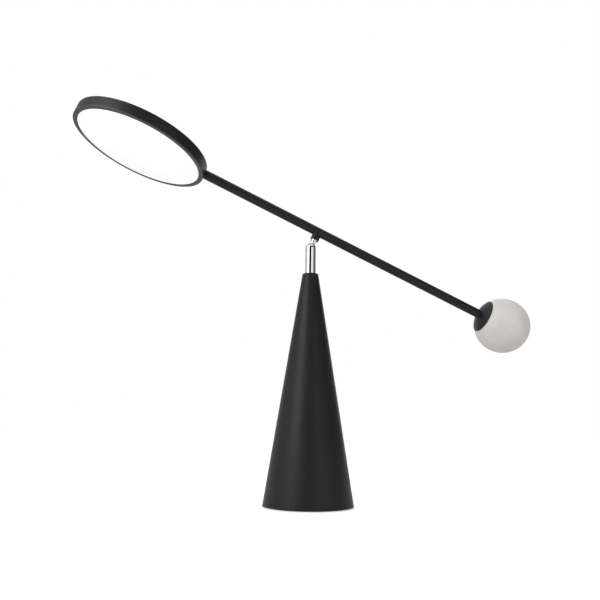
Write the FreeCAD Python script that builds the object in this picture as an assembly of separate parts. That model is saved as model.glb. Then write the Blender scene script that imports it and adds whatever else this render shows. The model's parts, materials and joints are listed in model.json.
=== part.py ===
"""Counterweight balance desk lamp, in millimetres.

+Z is up and the origin is the centre of the foot pad's underside. The arm lies in
the XZ plane, with the lamp head towards -X and the stone ball towards +X.
"""
import FreeCAD
import Part
import math
import os

V = FreeCAD.Vector
Frame = FreeCAD.Placement
Turn = FreeCAD.Rotation
ORIGIN = V(0, 0, 0)
X_AXIS = V(1, 0, 0)
Y_AXIS = V(0, 1, 0)
Z_AXIS = V(0, 0, 1)

# ---- Fits ----------------------------------------------------------------------
running_fit = 0.05      # radial clearance of a shaft that turns
seat_fit = 0.02         # radial clearance of a part that stays where it is fitted
thread_fit = 0.05       # radial gap between a screw and its threaded hole
axial_play = 0.05       # end clearance of a joint that turns
lining_gap = 0.3        # gap round a part dropped into a shell or a recess
overrun = 1.0           # how far a cutting shape runs past what it cuts

# ---- Cone foot -----------------------------------------------------------------
base_radius = 60.0      # outer radius at the bottom edge
cone_top_height = 312.0  # table to the flat top
cone_top_radius = 11.0
cone_wall = 2.0         # sheet thickness, square to the surface
cone_top_plate = 5.0    # thickness of the closed top
cone_top_round = 0.6    # rounding of the top edge
shadow_gap = 1.0        # height of the cone's edge over the table

pad_inset = 5.0         # from the cone's bottom edge in to the pad's
pad_thickness = 2.0
plate_thickness = 2.0
ballast_height = 30.0
ballast_round = 1.5
plate_screw_count = 3
plate_screw_inset = 17.0  # from the plate's edge in to the screws
plate_screw_radius = 2.0
plate_screw_head = 4.0  # radius of the countersunk head
plate_screw_length = 12.0

# ---- Tie rod through the cone ----------------------------------------------------
rod_radius = 5.0
rod_bore = 3.75
rod_tail = 3.0          # thread below the nut
nut_height = 5.0
nut_flats = 14.0
washer_radius = 10.0
washer_thickness = 1.5
spanner_room = 2.0      # round the washer, in the ballast's recess
bush_radius = 7.0
bush_head_radius = 8.5
bush_head_height = 2.0
bush_length = 30.0      # whole length, head included
bush_bearing = 12.0     # length of the bore that the post's stem turns in
bush_chamber = 7.0      # room under the bearing for the retaining clip

# ---- Cord outlet at the back ------------------------------------------------------
outlet_height = 16.0
outlet_bore = 3.25
outlet_body = 5.2       # radius of the hole in the cone
outlet_flange = 7.5
outlet_proud = 1.6      # flange thickness outside the cone
outlet_inside = 5.0     # length from the cone's outer face to the inner end
outlet_round = 0.6
cord_channel_width = 20.0
cord_channel_start = 34.0

# ---- Driver in the cone ----------------------------------------------------------
driver_size = (18.0, 26.0, 52.0)
driver_lift = 2.0       # over the bracket's foot
bracket_sheet = 1.2
bracket_stand_off = 3.0  # from the tie rod to the bracket
bracket_foot_depth = 12.0
bracket_foot_width = 48.0
bracket_screw_span = 38.0
bracket_screw_radius = 1.5
bracket_screw_head = 2.8
bracket_screw_head_height = 1.8
bracket_screw_length = 7.0

# ---- Chrome post -----------------------------------------------------------------
post_radius = 7.5
post_edge = 0.4         # chamfer round the foot of the post
post_rise = 37.5        # cone's flat top up to the tilt axis
stem_radius = 4.0
stem_tail = 3.0         # stem below the bearing
wire_bore = 2.5
clip_width = 0.8        # how far the clip stands out of the stem
clip_thickness = 0.8
clip_groove_depth = 0.6
clip_opening = 3.2
turn_washer_width = 1.0
turn_washer_thickness = 0.5
stop_pin_radius = 0.5
stop_pin_spacing = 0.5  # between the turn washer and the pin
stop_pin_height = 1.1
stop_pin_depth = 3.0
stop_groove_gap = 0.15
stop_spare = 1.0        # degrees left over at either limit of a joint
swivel_limit = 170.0    # degrees either way

# ---- Tilt joint ------------------------------------------------------------------
pin_radius = 2.0
pin_inset = 0.03        # pin's end below the post's surface at the back
pin_front_wall = 2.0    # solid metal left in front of the pin
eye_wall = 3.5          # round the pin
eye_thickness = 5.0
tilt_washer_inset = 0.3  # from the eye's edge in to the washer's
tilt_washer_thickness = 0.5
pocket_clearance = 0.7  # round the eye
tilt_limit = 45.0       # degrees either way from level, where the neck meets the pocket
neck_foot_radius = 3.3  # the neck where it leaves the post
neck_top_radius = 4.8
neck_shoulder = 0.4     # between the post's dome and the full round of the neck
stud_radius = 3.0
stud_length = 8.0
lead_bore = 1.3
lead_groove_width = 2.2
lead_groove_floor = 1.6  # metal between the pin and the lead's groove

# ---- Arm -------------------------------------------------------------------------
arm_tilt = 23.0         # degrees that the head's end is raised as shown
arm_offset = 26.8       # tilt axis to the tube's axis
tube_radius = 6.35
tube_wall = 1.25
lug_wall = 3.0          # round the stud
lug_length = 7.4        # below the tube
lug_edge = 0.4
lug_lead_hole = 3.2
head_reach = 270.0      # along the tube, from over the tilt axis to the head's centre
ball_reach = 307.5      # the same to the ball's centre

# ---- Lamp head -------------------------------------------------------------------
head_droop = 2.4        # degrees that the head hangs below the tube's line
head_radius = 93.5
bezel_width = 6.5       # visible ring round the lit face
head_front = 7.5        # tube axis down to the front of the bezel
head_back = 7.6         # tube axis up to the flat back
head_wall = 2.2
back_thickness = 3.2
back_round = 1.0
pan_fillet = 1.0        # inside, between the wall and the back
bezel_thickness = 1.4
bezel_round = 0.5
bezel_inner_edge = 0.2
face_gap = 0.15         # round the diffuser inside the bezel
diffuser_thickness = 2.4
diffuser_flange = 2.6   # width of the step behind the bezel
tab_count = 6
tab_angle = 14.0        # degrees round the bezel
tab_thickness = 1.05
tab_length = 3.4
tab_gap = 0.15          # between a tab and the pan's wall
tab_hook = 0.35
tab_hook_height = 1.2
board_inset = 6.5       # from the pan's wall in to the board's edge
board_thickness = 1.6
reflector_lean = 7.5    # how far the reflector closes in from front to back
reflector_rim = 2.5
led_rings = 5
led_margin = 6.0        # from the outer ring of sources to the reflector
leds_per_step = 6       # more packages on each ring than on the one inside it
led_size = (3.5, 2.8, 0.7)
head_plug_length = 12.0
head_screw_radius = 1.25
head_screw_head = 2.25
head_screw_head_height = 1.5
head_screw_length = 8.0
head_screw_span = 6.4
head_screw_hole_gap = 0.1
head_wire_bore = 1.5

# ---- Counterweight ---------------------------------------------------------------
ball_radius = 40.0
cup_rim_radius = 23.5   # where the cup's edge meets the ball
cup_wall = 0.7
cup_bed = 0.05          # glue line between the cup and the ball
cup_seat = 0.6          # how deep the tube's end sits in the cup
ball_stud_radius = 4.0
ball_stud_reach = 24.0  # stud beyond the inside of the cup
ball_plug_length = 14.0
insert_wall = 2.0       # round the stud
insert_length = 22.0
ball_hole_spare = 3.5   # hole depth beyond the insert

# ---- Worked out: foot ------------------------------------------------------------
pad_radius = base_radius - pad_inset
cone_slope = (base_radius - cone_top_radius) / (cone_top_height - shadow_gap)
cone_lean = math.degrees(math.atan(cone_slope))
wall_across = cone_wall * math.hypot(1.0, cone_slope)
plate_low = pad_thickness
ballast_low = plate_low + plate_thickness
ballast_top = ballast_low + ballast_height
plate_radius = base_radius - (ballast_low - shadow_gap) * cone_slope - wall_across - lining_gap
plate_screw_circle = plate_radius - plate_screw_inset
rod_low = ballast_low + lining_gap
nut_low = rod_low + rod_tail
recess_top = nut_low + nut_height + washer_thickness
bearing_low = cone_top_height - bush_bearing
chamber_low = bearing_low - bush_chamber
bush_low = cone_top_height - bush_length
rod_high = chamber_low - lining_gap
bracket_x = rod_radius + bracket_stand_off

# ---- Worked out: post and joints -------------------------------------------------
pivot_height = cone_top_height + post_rise
post_low = cone_top_height + axial_play + turn_washer_thickness
turn_washer_radius = stem_radius + turn_washer_width
stop_pin_circle = turn_washer_radius + stop_pin_spacing + stop_pin_radius
stem_low = bearing_low - stem_tail
clip_high = bearing_low - lining_gap
clip_radius = stem_radius + clip_width
clip_groove = stem_radius - clip_groove_depth
slot_half = eye_thickness / 2 + tilt_washer_thickness + axial_play
eye_radius = pin_radius + eye_wall
tilt_washer_radius = eye_radius - tilt_washer_inset
pocket_radius = eye_radius + pocket_clearance
lead_groove_radius = pin_radius + lead_groove_floor

# ---- Worked out: arm -------------------------------------------------------------
tube_bore = tube_radius - tube_wall
lug_radius = stud_radius + lug_wall
lug_bottom = arm_offset - tube_radius - lug_length
shoulder_height = post_radius + neck_shoulder
neck_taper = (neck_top_radius - neck_foot_radius) / (lug_bottom - post_radius)
neck_start = neck_foot_radius - neck_taper * post_radius
entry_reach = head_reach - head_radius

# ---- Worked out: head ------------------------------------------------------------
pan_bore = head_radius - head_wall
pan_floor = head_back - back_thickness
face_radius = head_radius - bezel_width
flange_radius = face_radius + diffuser_flange
bezel_back = -head_front + bezel_thickness
diffuser_back = -head_front + diffuser_thickness
tab_radius = pan_bore - tab_gap
tab_tip = bezel_back + tab_length
board_radius = pan_bore - board_inset
board_front = pan_floor - board_thickness
reflector_back_radius = face_radius - reflector_lean
led_ring_step = (reflector_back_radius - led_margin) / led_rings

# ---- Worked out: counterweight ---------------------------------------------------
cup_inner = ball_radius + cup_bed
cup_outer = cup_inner + cup_wall
tube_end = ball_reach - cup_outer + cup_seat
insert_radius = ball_stud_radius + insert_wall

PIVOT = V(0, 0, pivot_height)
NECK = Frame(PIVOT, Turn(Y_AXIS, arm_tilt))
TUBE = NECK * Frame(V(0, 0, arm_offset), Turn())
ENTRY = TUBE * Frame(V(-entry_reach, 0, 0), Turn(Y_AXIS, -head_droop))
HEAD = ENTRY * Frame(V(-head_radius, 0, 0), Turn())
BALL = TUBE * Frame(V(ball_reach, 0, 0), Turn(Y_AXIS, -90))
OUTLET = Frame(V(0, base_radius - (outlet_height - shadow_gap) * cone_slope, outlet_height),
               Turn(X_AXIS, cone_lean - 90))


# ---- Making shapes ---------------------------------------------------------------
def bar(radius, low, high, axis=Z_AXIS, foot=ORIGIN):
    """A round bar along an axis, between two distances from a point on it."""
    return Part.makeCylinder(radius, high - low, foot + axis * low, axis)


def block(low, high):
    """A box between two opposite corners."""
    return Part.makeBox(high[0] - low[0], high[1] - low[1], high[2] - low[2], V(*low))


def outline(first, *steps):
    """A face in the XZ plane. A step is a point, or the middle and end of an arc."""
    edges = []
    here = V(first[0], 0, first[1])
    for step in list(steps) + [first]:
        if isinstance(step[0], tuple):
            middle, end = [V(x, 0, z) for x, z in step]
            edges.append(Part.Arc(here, middle, end).toShape())
        else:
            end = V(step[0], 0, step[1])
            edges.append(Part.makeLine(here, end))
        here = end
    return Part.Face(Part.Wire(edges))


def turned(first, *steps, angle=360.0):
    """A solid turned about the Z axis from points of radius and height."""
    return outline(first, *steps).revolve(ORIGIN, Z_AXIS, angle)


def ring(outer, inner, low, high):
    """A flat ring, or a tube, about the Z axis."""
    return turned((inner, low), (outer, low), (outer, high), (inner, high))


def on_circle(radius, degrees, centre=(0.0, 0.0)):
    """A point of a circle, at an angle from its first axis."""
    angle = math.radians(degrees)
    return (centre[0] + radius * math.cos(angle), centre[1] + radius * math.sin(angle))


def rounded(shape, size, radius, height):
    """A shape with the circular edge at a radius and height rounded off."""
    edges = [edge for edge in shape.Edges
             if isinstance(edge.Curve, Part.Circle)
             and abs(edge.Curve.Radius - radius) < 1e-3
             and abs(edge.Curve.Center.z - height) < 1e-3]
    return shape.makeFillet(size, edges)


def around(shape, count, first=0.0):
    """Copies of a shape, evenly spaced about the Z axis."""
    copies = []
    for number in range(count):
        copy = shape.copy()
        copy.rotate(ORIGIN, Z_AXIS, first + number * 360.0 / count)
        copies.append(copy)
    return copies


def placed(shape, place):
    """A copy of a shape that was drawn about the origin, put in its own frame."""
    copy = shape.copy()
    copy.Placement = place * copy.Placement
    return copy


# ---- Cone foot -------------------------------------------------------------------
def cone_outside(height):
    """Outer radius of the cone at a height."""
    return base_radius - (height - shadow_gap) * cone_slope


def cone_inside(height):
    """Inner radius of the cone at a height."""
    return cone_outside(height) - wall_across


def cone_shell(outlet_hole):
    """The tapered shell, with a seat for the bush and a hole for the cord outlet."""
    ceiling = cone_top_height - cone_top_plate
    seat = cone_top_height - bush_head_height
    shell = turned((cone_inside(shadow_gap), shadow_gap), (base_radius, shadow_gap),
                   (cone_top_radius, cone_top_height),
                   (bush_head_radius + seat_fit, cone_top_height),
                   (bush_head_radius + seat_fit, seat), (bush_radius + seat_fit, seat),
                   (bush_radius + seat_fit, ceiling), (cone_inside(ceiling), ceiling))
    shell = rounded(shell, cone_top_round, cone_top_radius, cone_top_height)
    return shell.cut(placed(bar(outlet_hole, -outlet_flange, outlet_flange), OUTLET))


def base_cone():
    """The coated shell."""
    return cone_shell(outlet_body)


def cord_outlet():
    """A grommet with a flange each side of the wall, its bore empty."""
    bush = ring(outlet_flange, outlet_bore, -outlet_inside, outlet_proud)
    bush = rounded(bush, outlet_round, outlet_flange, outlet_proud)
    return placed(bush, OUTLET).cut(cone_shell(outlet_body - seat_fit))


def plate_screw_places():
    """Angles of the screws, clear of the cord channel at the back."""
    return [-90.0 + number * 360.0 / plate_screw_count for number in range(plate_screw_count)]


def at_plate_screws(shape):
    """Copies of a shape at each screw of the bottom plate."""
    copies = []
    for angle in plate_screw_places():
        x, y = on_circle(plate_screw_circle, angle)
        copies.append(placed(shape, Frame(V(x, y, plate_low), Turn())))
    return copies


def plate_screw(gap=0.0):
    """One countersunk screw, standing on its head, or the space that it needs."""
    taper = plate_screw_head - plate_screw_radius
    return turned((0, 0), (plate_screw_head + gap, 0), (plate_screw_radius + gap, taper),
                  (plate_screw_radius + gap, plate_screw_length + gap),
                  (0, plate_screw_length + gap))


def bracket_screw_places():
    """Centres of the two screws in the bracket's foot, on the ballast."""
    x = bracket_x + bracket_foot_depth - bracket_screw_head * 1.5
    return [V(x, side * bracket_screw_span / 2, ballast_top) for side in (-1, 1)]


def ballast_weight():
    """The cast weight, wedged in the cone, recessed for the nut and cut for the cord."""
    hole = rod_radius + lining_gap
    recess = washer_radius + spanner_room
    rim_low = cone_inside(ballast_low) - seat_fit
    rim_top = cone_inside(ballast_top) - seat_fit
    weight = turned((recess, ballast_low), (rim_low, ballast_low), (rim_top, ballast_top),
                    (hole, ballast_top), (hole, recess_top), (recess, recess_top))
    weight = rounded(weight, ballast_round, rim_top, ballast_top)
    half = cord_channel_width / 2
    weight = weight.cut(block((-half, cord_channel_start, ballast_low - overrun),
                              (half, base_radius, ballast_top + overrun)))
    for screw in at_plate_screws(plate_screw(thread_fit)):
        weight = weight.cut(screw)
    for place in bracket_screw_places():
        weight = weight.cut(bar(bracket_screw_radius + thread_fit, -bracket_screw_length,
                                overrun, foot=place))
    return weight


def bottom_plate():
    """The round plate that closes the cone."""
    plate = bar(plate_radius, plate_low, ballast_low)
    for screw in at_plate_screws(plate_screw(seat_fit)):
        plate = plate.cut(screw)
    return plate


def plate_screws():
    """The screws that hold the plate to the ballast."""
    return Part.makeCompound(at_plate_screws(plate_screw()))


def foot_pad():
    """The soft pad that the lamp stands on, which covers the screws."""
    return bar(pad_radius, 0, pad_thickness)


def tie_rod():
    """The hollow threaded rod that draws the ballast up into the cone."""
    return ring(rod_radius, rod_bore, rod_low, rod_high)


def tie_nut():
    """The hexagon nut under the ballast."""
    corners = [V(*on_circle(nut_flats / math.sqrt(3), 60.0 * number), nut_low)
               for number in range(6)]
    nut = Part.Face(Part.makePolygon(corners + corners[:1])).extrude(V(0, 0, nut_height))
    return nut.cut(bar(rod_radius + thread_fit, nut_low - overrun, nut_low + nut_height + overrun))


def tie_washer():
    """The plain washer between the nut and the ballast."""
    return ring(washer_radius, rod_radius + lining_gap, recess_top - washer_thickness, recess_top)


def top_bush():
    """The turned bush in the cone's top, which the post turns in."""
    bearing = stem_radius + running_fit
    chamber = clip_radius + lining_gap
    thread = rod_radius + thread_fit
    bush = turned((thread, bush_low), (bush_radius, bush_low),
                  (bush_radius, cone_top_height - bush_head_height),
                  (bush_head_radius, cone_top_height - bush_head_height),
                  (bush_head_radius, cone_top_height), (bearing, cone_top_height),
                  (bearing, bearing_low), (chamber, bearing_low), (chamber, chamber_low),
                  (thread, chamber_low))
    return bush.cut(bar(stop_pin_radius + seat_fit, -stop_pin_depth, overrun,
                        foot=V(stop_pin_circle, 0, cone_top_height)))


def stop_pin():
    """The small pin that ends the post's turn."""
    return bar(stop_pin_radius, -stop_pin_depth, stop_pin_height,
               foot=V(stop_pin_circle, 0, cone_top_height))


def driver_bracket():
    """The bent bracket on the ballast that carries the driver."""
    width = driver_size[1]
    high = ballast_top + bracket_sheet + driver_lift + driver_size[2]
    back = block((bracket_x, -width / 2, ballast_top),
                 (bracket_x + bracket_sheet, width / 2, high))
    foot = block((bracket_x, -bracket_foot_width / 2, ballast_top),
                 (bracket_x + bracket_foot_depth, bracket_foot_width / 2,
                  ballast_top + bracket_sheet))
    bracket = back.fuse(foot)
    for place in bracket_screw_places():
        bracket = bracket.cut(bar(bracket_screw_radius + seat_fit, -overrun,
                                  bracket_sheet + overrun, foot=place))
    return bracket


def bracket_screws():
    """The two pan-head screws of the bracket."""
    screws = []
    for place in bracket_screw_places():
        head = bar(bracket_screw_head, bracket_sheet,
                   bracket_sheet + bracket_screw_head_height, foot=place)
        shank = bar(bracket_screw_radius, bracket_sheet - bracket_screw_length,
                    bracket_sheet, foot=place)
        screws.append(head.fuse(shank))
    return Part.makeCompound(screws)


def led_driver():
    """The sealed driver module."""
    depth, width, height = driver_size
    low = ballast_top + bracket_sheet + driver_lift
    back = bracket_x + bracket_sheet
    module = block((back, -width / 2, low), (back + depth, width / 2, low + height))
    upright = [edge for edge in module.Edges if abs(edge.tangentAt(edge.FirstParameter).z) > 0.5]
    return module.makeFillet(2 * bracket_sheet, upright)


# ---- Chrome post -----------------------------------------------------------------
def post_form(inset=0.0):
    """The outside of the post above its shoulder: a barrel under a dome."""
    radius = post_radius - inset
    return turned((0, post_low), (radius - post_edge, post_low), (radius, post_low + post_edge),
                  (radius, pivot_height),
                  (on_circle(radius, 45, (0, pivot_height)), (0, pivot_height + radius)))


def neck_half_angle():
    """Angle at the pin between the neck's middle and its side, on the pocket's seat."""
    slope_length = math.hypot(1.0, neck_taper)
    off_centre = neck_start / slope_length
    return math.degrees(math.asin(off_centre / pocket_radius) + math.atan(neck_taper))


def joint_pocket():
    """The closed slot for the tongue: a round seat that opens upwards like a fan."""
    reach = 2 * post_radius
    half_angle = tilt_limit + neck_half_angle() + stop_spare
    x, z = on_circle(reach, 90 - half_angle)
    fan = outline((0, 0), (x, z), (x, reach), (-x, reach), (-x, z))
    fan.translate(V(0, -slot_half, 0))
    seat = bar(pocket_radius, -slot_half, slot_half, Y_AXIS)
    return placed(seat.fuse(fan.extrude(V(0, 2 * slot_half, 0))), Frame(PIVOT, Turn()))


def stop_groove():
    """The arc in the post's underside that the stop pin runs in."""
    half_width = stop_pin_radius + stop_groove_gap
    low = post_low - overrun
    high = cone_top_height + stop_pin_height + lining_gap
    pin_angle = math.degrees(math.asin(stop_pin_radius / stop_pin_circle))
    half_angle = swivel_limit + stop_spare + pin_angle
    groove = turned((stop_pin_circle - half_width, low), (stop_pin_circle + half_width, low),
                    (stop_pin_circle + half_width, high), (stop_pin_circle - half_width, high),
                    angle=2 * half_angle)
    groove.rotate(ORIGIN, Z_AXIS, -half_angle)
    return groove


def swivel_post():
    """The post, with its stem below and the clevis for the tongue above."""
    stem = turned((0, stem_low), (stem_radius, stem_low),
                  (stem_radius, clip_high - clip_thickness), (clip_groove, clip_high - clip_thickness),
                  (clip_groove, clip_high), (stem_radius, clip_high),
                  (stem_radius, post_low + post_edge), (0, post_low + post_edge))
    post = post_form().fuse(stem)
    post = post.cut(bar(wire_bore, stem_low - overrun, pivot_height))
    post = post.cut(joint_pocket()).cut(stop_groove())
    return post.cut(bar(pin_radius, pin_front_wall - post_radius, 2 * post_radius, Y_AXIS, PIVOT))


def turn_washer():
    """The plastic washer between the post's shoulder and the bush."""
    return ring(turn_washer_radius, stem_radius + seat_fit,
                post_low - turn_washer_thickness, post_low)


def stem_clip():
    """The open spring clip that keeps the stem in the bush."""
    clip = ring(clip_radius, clip_groove + seat_fit, clip_high - clip_thickness, clip_high)
    return clip.cut(block((0, -clip_opening / 2, clip_high - clip_thickness - overrun),
                          (clip_radius + overrun, clip_opening / 2, clip_high + overrun)))


def pivot_pin():
    """The tilt pin, pressed in from the back and ground flush with the post there."""
    whole = bar(pin_radius, pin_front_wall - post_radius, post_radius, Y_AXIS, PIVOT)
    return whole.common(post_form(pin_inset))


# ---- Tilt joint ------------------------------------------------------------------
def tilt_tongue():
    """Eye, waisted neck and stud in one piece, with the way for the lead round the pin."""
    half = eye_thickness / 2
    neck_low = pin_radius
    neck = turned((0, neck_low), (neck_start + neck_taper * neck_low, neck_low),
                  (neck_top_radius, lug_bottom), (stud_radius, lug_bottom),
                  (stud_radius, lug_bottom + stud_length), (0, lug_bottom + stud_length))
    for side in (-1, 1):
        flat = sorted((side * half, side * (half + post_radius)))
        neck = neck.cut(block((-post_radius, flat[0], 0),
                              (post_radius, flat[1], shoulder_height)))
    tongue = bar(eye_radius, -half, half, Y_AXIS).fuse(neck)
    tongue = tongue.cut(bar(pin_radius + running_fit, -half - overrun, half + overrun, Y_AXIS))
    groove = bar(eye_radius + overrun, -lead_groove_width / 2, lead_groove_width / 2, Y_AXIS)
    groove = groove.cut(bar(lead_groove_radius, -half, half, Y_AXIS))
    tongue = tongue.cut(groove)
    tongue = tongue.cut(bar(lead_bore, lead_groove_radius, lug_bottom + stud_length + overrun))
    return placed(tongue, NECK)


def tilt_washers():
    """The friction washers each side of the eye."""
    half = eye_thickness / 2
    pair = []
    for low in (-half - tilt_washer_thickness, half):
        washer = bar(tilt_washer_radius, low, low + tilt_washer_thickness, Y_AXIS)
        pair.append(washer.cut(bar(pin_radius + running_fit, low - overrun,
                                   low + tilt_washer_thickness + overrun, Y_AXIS)))
    return placed(Part.makeCompound(pair), NECK)


# ---- Arm -------------------------------------------------------------------------
def head_body():
    """The head's outer cylinder, which the tube's end is cut to."""
    return placed(bar(head_radius, -head_radius, head_radius), HEAD)


def arm_lug():
    """The stub brazed under the tube, threaded for the tongue's stud."""
    bottom = -tube_radius - lug_length
    lug = turned((0, bottom), (lug_radius - lug_edge, bottom), (lug_radius, bottom + lug_edge),
                 (lug_radius, 0), (0, 0))
    lug = lug.cut(bar(stud_radius + thread_fit, bottom - overrun, overrun))
    return placed(lug.cut(bar(tube_radius, -2 * lug_radius, 2 * lug_radius, X_AXIS)), TUBE)


def arm_tube():
    """The one-piece tube from the head's rim to the cup."""
    tube = bar(tube_radius, -head_reach, tube_end, X_AXIS)
    tube = tube.cut(bar(tube_bore, -head_reach - overrun, tube_end + overrun, X_AXIS))
    tube = tube.cut(bar(lug_lead_hole, -2 * tube_radius, 0))
    return placed(tube, TUBE).cut(head_body())


def head_screw_spots():
    """Frames of the screws that hold the tube's plug, pointing out through the rim."""
    reach = math.sqrt(pan_bore ** 2 - (head_screw_span / 2 + head_screw_head) ** 2)
    return [HEAD * Frame(V(reach, side * head_screw_span / 2, 0), Turn(Y_AXIS, 90))
            for side in (-1, 1)]


def head_plug():
    """The plug in the tube's end, threaded for the two screws."""
    plug = bar(tube_bore - seat_fit, -head_reach, -entry_reach + head_plug_length, X_AXIS)
    plug = plug.cut(bar(head_wire_bore, -head_reach - overrun, 0, X_AXIS))
    plug = placed(plug, TUBE).cut(head_body())
    for spot in head_screw_spots():
        plug = plug.cut(placed(bar(head_screw_radius + thread_fit, 0,
                                   head_screw_length + thread_fit), spot))
    return plug


def head_screws():
    """The two screws, their heads inside the rim."""
    screws = []
    for spot in head_screw_spots():
        head = bar(head_screw_head, -head_screw_head_height, 0)
        screws.append(placed(head.fuse(bar(head_screw_radius, 0, head_screw_length)), spot))
    return Part.makeCompound(screws)


# ---- Lamp head -------------------------------------------------------------------
def head_pan():
    """The shallow pan: wall and back in one, grooved inside for the bezel's tabs."""
    hook_low = tab_tip - tab_hook_height - tab_gap
    hook_high = tab_tip + tab_gap
    deep = pan_bore + tab_hook
    edge = (head_radius - back_round, head_back - back_round)
    hollow = (pan_bore - pan_fillet, pan_floor - pan_fillet)
    pan = turned((0, pan_floor), (hollow[0], pan_floor),
                 (on_circle(pan_fillet, 45, hollow), (pan_bore, hollow[1])),
                 (pan_bore, hook_high), (deep, hook_high - tab_hook), (deep, hook_low + tab_hook),
                 (pan_bore, hook_low), (pan_bore, bezel_back), (head_radius, bezel_back),
                 (head_radius, edge[1]), (on_circle(back_round, 45, edge), (edge[0], head_back)),
                 (0, head_back))
    pan = placed(pan, HEAD)
    for spot in head_screw_spots():
        pan = pan.cut(placed(bar(head_screw_radius + head_screw_hole_gap, -overrun,
                                 head_screw_length), spot))
    return pan.cut(placed(bar(head_wire_bore, 0, 2 * head_wall + overrun, X_AXIS,
                              V(pan_bore - overrun, 0, 0)), HEAD))


def bezel_tab():
    """One sprung tab with its hook."""
    inner = tab_radius - tab_thickness
    root = -head_front + bezel_thickness / 2
    foot = tab_tip - tab_hook_height
    return turned((inner, root), (tab_radius, root), (tab_radius, foot),
                  (tab_radius + tab_hook, foot + tab_hook), (tab_radius, tab_tip),
                  (inner, tab_tip), angle=tab_angle)


def front_bezel():
    """The flat ring round the lit face, snapped into the pan."""
    front = -head_front
    bezel = turned((face_radius + bezel_inner_edge, front), (head_radius, front),
                   (head_radius, bezel_back), (face_radius, bezel_back),
                   (face_radius, front + bezel_inner_edge))
    bezel = rounded(bezel, bezel_round, head_radius, front)
    first = 180.0 / tab_count - tab_angle / 2
    for tab in around(bezel_tab(), tab_count, first):
        bezel = bezel.fuse(tab)
    return placed(bezel.removeSplitter(), HEAD)


def diffuser():
    """The opal disc, stepped behind the bezel."""
    front = -head_front
    lit = face_radius - face_gap
    return placed(turned((0, front), (lit, front), (lit, bezel_back), (flange_radius, bezel_back),
                         (flange_radius, diffuser_back), (0, diffuser_back)), HEAD)


def reflector_ring():
    """The white ring that holds the diffuser and the board apart."""
    back = reflector_back_radius
    return placed(turned((back, board_front), (face_radius + face_gap, diffuser_back),
                         (flange_radius, diffuser_back),
                         (flange_radius, diffuser_back + reflector_rim / 2),
                         (back + reflector_rim, board_front)), HEAD)


def led_board():
    """The metal-cored board against the pan's back."""
    return placed(bar(board_radius, board_front, pan_floor), HEAD)


def leds():
    """The light sources, in rings round one at the centre."""
    length, width, height = led_size
    package = block((-length / 2, -width / 2, board_front - height),
                    (length / 2, width / 2, board_front))
    packages = [package]
    for number in range(1, led_rings + 1):
        outer = package.copy()
        outer.translate(V(number * led_ring_step, 0, 0))
        packages += around(outer, leds_per_step * number)
    return placed(Part.makeCompound(packages), HEAD)


# ---- Counterweight ---------------------------------------------------------------
def ball_cup():
    """The domed cup on the tube's end that the ball is drawn into."""
    hole = ball_stud_radius + lining_gap
    seat = tube_radius + seat_fit
    floor = cup_outer - cup_seat
    rim = 90 - math.degrees(math.asin(cup_rim_radius / cup_inner))
    top_in = math.degrees(math.acos(hole / cup_inner))
    top_out = math.degrees(math.acos(seat / cup_outer))
    edge_out = on_circle(cup_outer, rim)
    lip = on_circle(cup_inner + cup_wall / 2, rim - math.degrees(cup_wall / 2 / cup_outer))
    return placed(turned(on_circle(cup_inner, top_in),
                         (on_circle(cup_inner, (rim + top_in) / 2), on_circle(cup_inner, rim)),
                         (lip, edge_out),
                         (on_circle(cup_outer, (rim + top_out) / 2), on_circle(cup_outer, top_out)),
                         (seat, floor), (hole, floor)), BALL)


def ball_stud():
    """The plug in the tube's end, with the stud that goes through the cup."""
    plug = bar(tube_bore - seat_fit, tube_end - ball_plug_length, tube_end, X_AXIS)
    tip = ball_reach - cup_inner + ball_stud_reach
    return placed(plug.fuse(bar(ball_stud_radius, tube_end, tip, X_AXIS)), TUBE)


def insert_start():
    """Where the insert begins, flush with the ball's surface round the hole."""
    return ball_reach - math.sqrt(ball_radius ** 2 - insert_radius ** 2)


def ball_insert():
    """The threaded brass insert bonded into the ball."""
    start = insert_start()
    insert = bar(insert_radius, start, start + insert_length, X_AXIS)
    return placed(insert.cut(bar(ball_stud_radius + thread_fit, start - overrun,
                                 start + insert_length + overrun, X_AXIS)), TUBE)


def stone_ball():
    """The solid ball, drilled for the insert."""
    ball = Part.makeSphere(ball_radius, V(ball_reach, 0, 0), X_AXIS, -90, 90, 360)
    hole = bar(insert_radius + seat_fit, ball_reach - ball_radius - overrun,
               insert_start() + insert_length + ball_hole_spare, X_AXIS)
    return placed(ball.cut(hole), TUBE)


PIECES = {
    "base_cone": base_cone, "cord_outlet": cord_outlet, "ballast_weight": ballast_weight,
    "bottom_plate": bottom_plate, "plate_screws": plate_screws, "foot_pad": foot_pad,
    "tie_rod": tie_rod, "tie_nut": tie_nut, "tie_washer": tie_washer, "top_bush": top_bush,
    "stop_pin": stop_pin, "driver_bracket": driver_bracket, "bracket_screws": bracket_screws,
    "led_driver": led_driver,
    "swivel_post": swivel_post, "turn_washer": turn_washer, "stem_clip": stem_clip,
    "pivot_pin": pivot_pin,
    "tilt_tongue": tilt_tongue, "tilt_washers": tilt_washers, "arm_lug": arm_lug,
    "arm_tube": arm_tube, "head_plug": head_plug, "head_screws": head_screws,
    "head_pan": head_pan, "front_bezel": front_bezel, "diffuser": diffuser,
    "reflector_ring": reflector_ring, "led_board": led_board, "leds": leds,
    "ball_cup": ball_cup, "ball_stud": ball_stud, "ball_insert": ball_insert,
    "stone_ball": stone_ball,
}


def main():
    """Write every piece to its own file."""
    os.makedirs("parts", exist_ok=True)
    for name, make in PIECES.items():
        shape = make()
        print(f"{name}: {len(shape.Solids)} solid(s), {shape.Volume / 1000:.3f} cm3")
        shape.exportStep(os.path.join("parts", f"{name}.step"))


main()
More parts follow.
